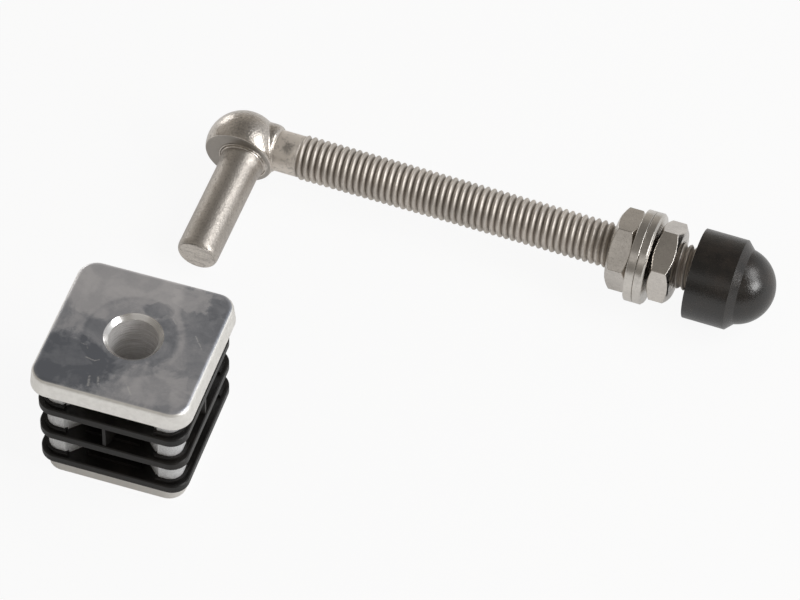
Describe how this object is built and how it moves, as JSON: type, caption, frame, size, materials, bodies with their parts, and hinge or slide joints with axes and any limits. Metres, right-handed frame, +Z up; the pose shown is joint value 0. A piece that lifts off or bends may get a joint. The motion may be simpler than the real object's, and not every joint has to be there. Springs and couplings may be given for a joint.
{
  "type": "gate hinge",
  "caption": "Hook bolt gate hinge: forged pin with a ball head and a threaded stud with nuts, washers and a domed cap, and a finned square tube insert with a bore for the pin.",
  "frame": {"origin": "on the floor at the axis of the insert's bore, where the bore opens in the insert's base", "axes": "+Z up along the bore, +X the way the stud points, -Y the way the hinge pin points"},
  "size_m": [0.1552, 0.1235, 0.036],
  "materials": {
    "stainless_forging": "tumbled satin stainless steel, grainy and warm grey",
    "stainless_nut": "bright cold-formed stainless steel",
    "stainless_washer": "bright stamped stainless steel",
    "cap_plastic": "satin black polyethylene",
    "cast_aluminium": "cast aluminium, burnished on the plate's face",
    "collar_plastic": "matt black nylon"
  },
  "bodies": {
    "hook": {"hook_bolt": "stainless_forging"},
    "inner washer": {"inner_washer": "stainless_washer"},
    "inner nut": {"inner_nut": "stainless_nut"},
    "outer washer": {"outer_washer": "stainless_washer"},
    "outer nut": {"outer_nut": "stainless_nut"},
    "cap": {"end_cap": "cap_plastic"},
    "insert": {"insert_core": "cast_aluminium", "insert_fins": "collar_plastic"}
  },
  "joints": [
    {"name": "gate_swing", "type": "hinge", "parent": "hook", "child": "insert", "pos_m": [0, 0, 0.018], "axis": [0, 0, 1], "range_deg": [-90, 90]},
    {"name": "inner_washer_slide", "type": "slide", "parent": "hook", "child": "inner washer", "axis": [0.9997, 0, 0.0238], "range_m": [-0.084, 0]},
    {"name": "inner_nut_turn", "type": "hinge", "parent": "inner washer", "child": "inner nut", "pos_m": [0.0951, 0.0907, 0.01246], "axis": [0.9997, 0, 0.0238], "range_deg": [-17280, 0]},
    {"name": "outer_washer_slide", "type": "slide", "parent": "hook", "child": "outer washer", "axis": [0.9997, 0, 0.0238], "range_m": [0, 0.0042]},
    {"name": "outer_nut_turn", "type": "hinge", "parent": "outer washer", "child": "outer nut", "pos_m": [0.1061, 0.0907, 0.01272], "axis": [0.9997, 0, 0.0238], "range_deg": [0, 864]},
    {"name": "cap_pull", "type": "slide", "parent": "hook", "child": "cap", "axis": [0.9997, 0, 0.0238], "range_m": [0, 0.013]}
  ],
  "couplings": [
    {"joint": "inner_washer_slide", "follows": "inner_nut_turn", "m_per_rad": 0.00027852},
    {"joint": "outer_washer_slide", "follows": "outer_nut_turn", "m_per_rad": 0.00027852}
  ]
}
